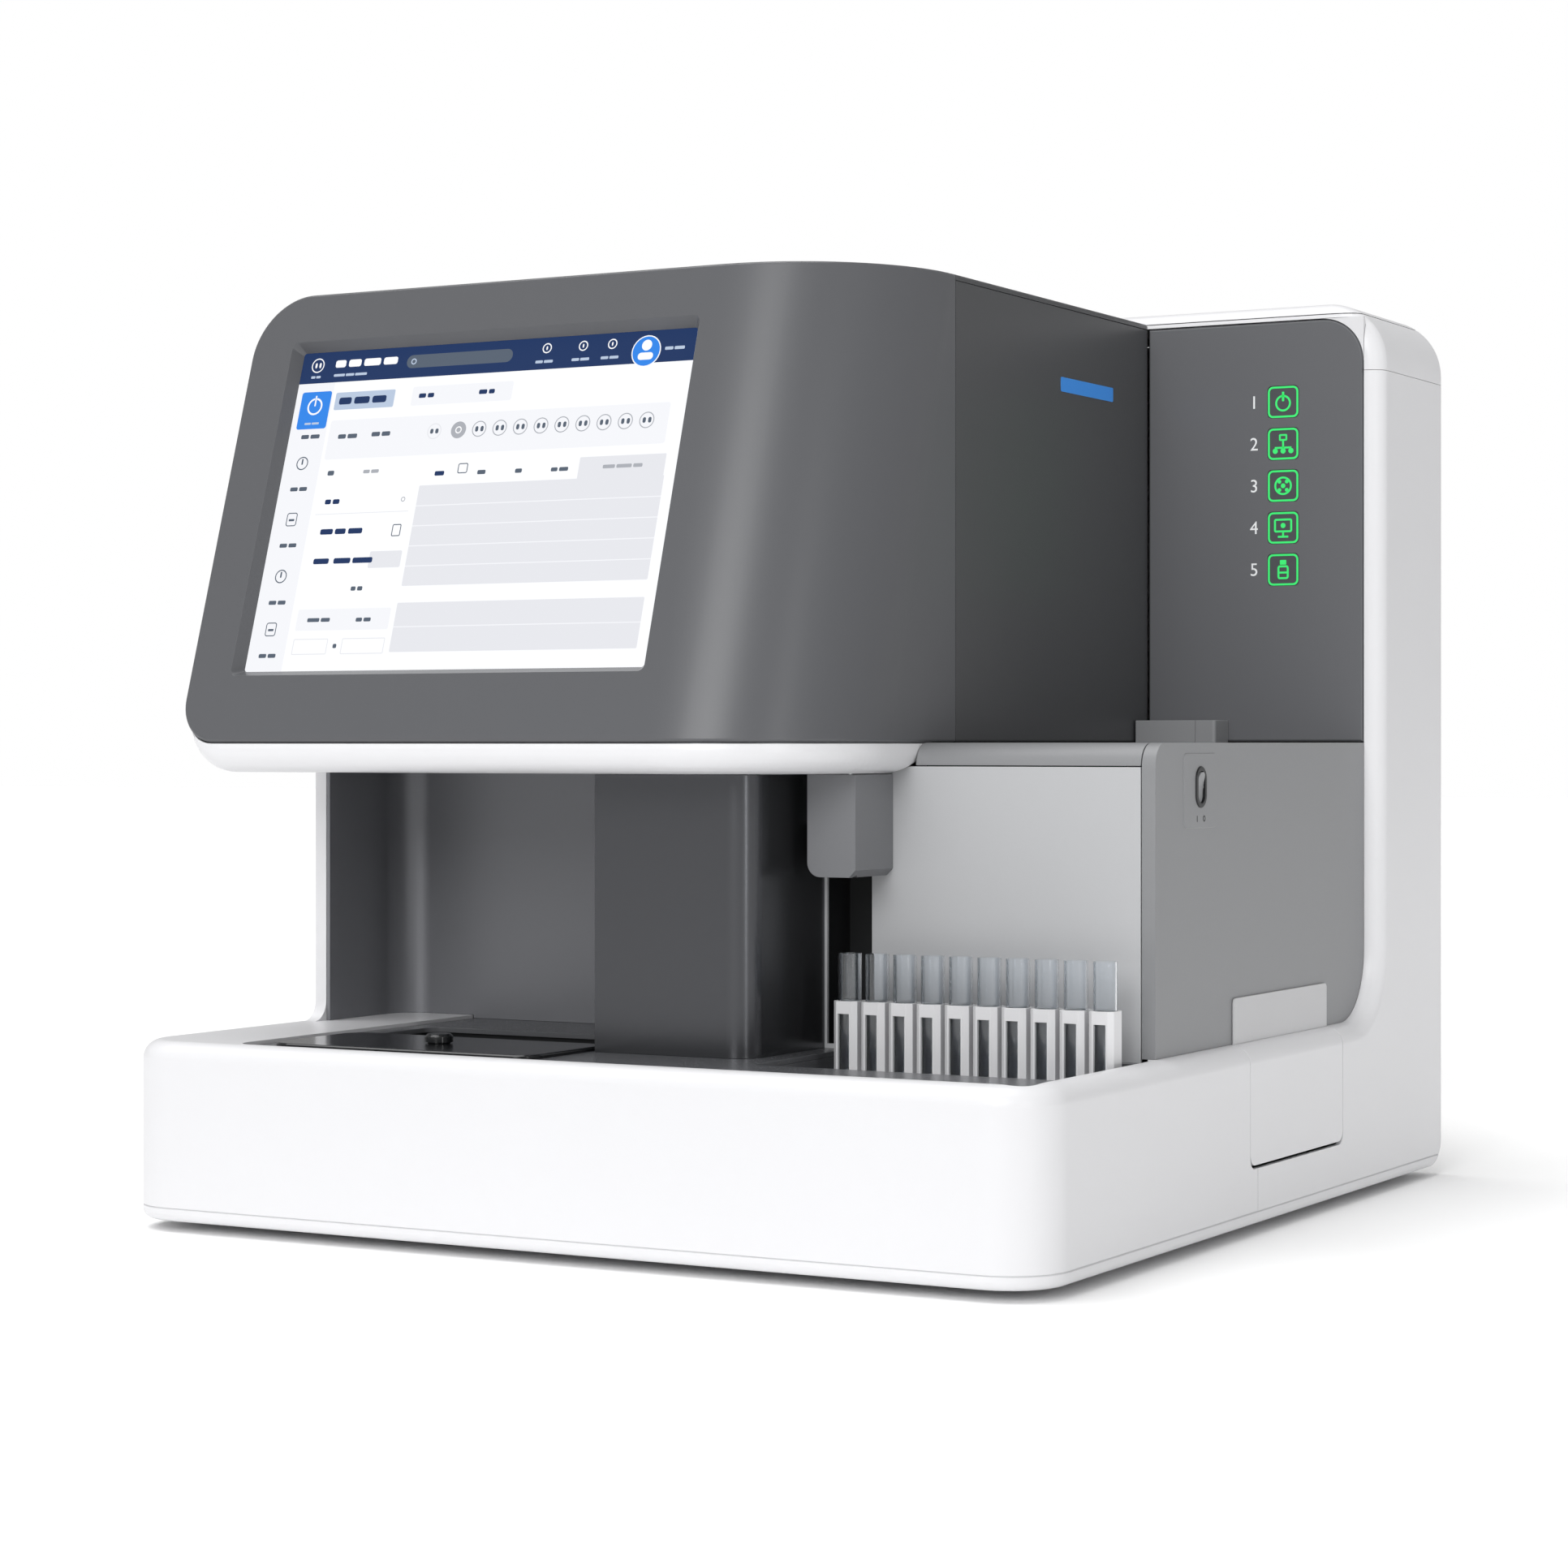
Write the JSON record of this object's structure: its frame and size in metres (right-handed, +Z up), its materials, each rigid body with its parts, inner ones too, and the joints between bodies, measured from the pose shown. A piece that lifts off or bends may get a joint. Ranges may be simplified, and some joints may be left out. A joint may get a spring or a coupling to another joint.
{
  "type": "chemiluminescence immunoassay analyzer",
  "caption": "Bench-top immunoassay analyzer: white base and tower, leaning touchscreen head, reagent bay, sample rack with tubes, waste drawer, status panel.",
  "frame": {"origin": "on the bench, under the middle of the base", "axes": "+Z up, -Y towards the operator, +X the operator's right hand"},
  "size_m": [0.58, 0.614, 0.551],
  "materials": {
    "white_shell": "smooth satin white",
    "light_grey_panel": "satin light grey",
    "mid_grey_cover": "satin mid grey",
    "head_grey": "satin dark grey",
    "dark_panel": "satin dark grey",
    "dark_deck": "matte charcoal",
    "black_plastic": "matte black",
    "chassis_steel": "zinc plated sheet",
    "rear_paint": "fine powder coat",
    "bright_steel": "polished",
    "anodised": "clear anodised",
    "foot_rubber": "matte",
    "screen_glass": "polished",
    "display_body": "matte",
    "indicator_green": "printed lens",
    "tube_clear": "clear",
    "tab_clear": "frosted",
    "bottle_amber": "smooth",
    "board_green": "solder mask"
  },
  "bodies": {
    "base": {"rubber_feet": "foot_rubber", "base_tray": "white_shell", "base_plate": "chassis_steel", "base_front_cover": "white_shell", "rear_shell": "white_shell", "tower_cap": "white_shell", "rack_well": "dark_deck", "reagent_pot": "black_plastic", "deck_insert": "dark_deck", "deck_frame": "chassis_steel", "right_side_cover": "mid_grey_cover", "left_side_cover": "white_shell", "front_panel": "light_grey_panel", "scan_channel": "black_plastic", "shelf_cover": "mid_grey_cover", "bay_liner": "dark_deck", "pillar_cover": "dark_deck", "probe_housing": "head_grey", "head_floor": "chassis_steel", "head_front_cover": "head_grey", "display_glass": "screen_glass", "display_module": "display_body", "head_hood": "head_grey", "head_top_cover": "head_grey", "head_chin": "white_shell", "icon_panel": "dark_panel", "indicator_lenses": "indicator_green", "shelf_box": "mid_grey_cover", "rear_panel": "rear_paint", "fan_frame": "black_plastic", "power_inlet": "black_plastic", "data_ports": "black_plastic", "socket_panel": "rear_paint", "power_supply": "chassis_steel", "main_board": "board_green", "left_frame": "chassis_steel", "right_frame": "chassis_steel", "body_top_frame": "chassis_steel", "drive_motors": "black_plastic", "reaction_deck": "anodised", "detector": "black_plastic", "wash_station": "anodised", "probe_column": "anodised", "drawer_runners": "chassis_steel", "switch_bezel": "black_plastic"},
    "fan": {"fan_rotor": "black_plastic"},
    "rack": {"sample_rack": "light_grey_panel"},
    "tubes": {"sample_tubes": "tube_clear"},
    "lid": {"reagent_lid": "dark_deck", "lid_knob": "black_plastic"},
    "carousel": {"reagent_carousel": "anodised", "reagent_bottles": "bottle_amber"},
    "rotor": {"incubation_rotor": "anodised", "cuvettes": "tube_clear"},
    "probe": {"probe_carriage": "anodised", "sample_probe": "bright_steel"},
    "drawer": {"drawer_front": "white_shell", "drawer_tab": "tab_clear", "waste_bin": "light_grey_panel"},
    "rocker": {"power_rocker": "mid_grey_cover"}
  },
  "joints": [
    {"name": "drawer_slide", "type": "slide", "parent": "base", "child": "drawer", "axis": [1, 0, 0], "range_m": [0, 0.13]},
    {"name": "rack_slide", "type": "slide", "parent": "base", "child": "rack", "axis": [0, -1, 0], "range_m": [0, 0.055]},
    {"name": "tubes_lift", "type": "slide", "parent": "rack", "child": "tubes", "axis": [0, 0, 1], "range_m": [0, 0.04]},
    {"name": "lid_lift", "type": "slide", "parent": "base", "child": "lid", "axis": [0, 0, 1], "range_m": [0, 0.08]},
    {"name": "carousel_spin", "type": "hinge", "parent": "base", "child": "carousel", "pos_m": [-0.1135, -0.203, 0.039], "axis": [0, 0, 1], "continuous": true},
    {"name": "rotor_spin", "type": "hinge", "parent": "base", "child": "rotor", "pos_m": [-0.11, 0.065, 0.156], "axis": [0, 0, 1], "continuous": true},
    {"name": "probe_slide", "type": "slide", "parent": "base", "child": "probe", "axis": [0, 0, 1], "range_m": [-0.085, 0]},
    {"name": "fan_spin", "type": "hinge", "parent": "base", "child": "fan", "pos_m": [-0.14, 0.29, 0.336], "axis": [0, 1, 0], "continuous": true},
    {"name": "rocker_tilt", "type": "hinge", "parent": "base", "child": "rocker", "pos_m": [0.2775, -0.074, 0.2535], "axis": [0, -1, 0], "range_deg": [0, 14]}
  ]
}
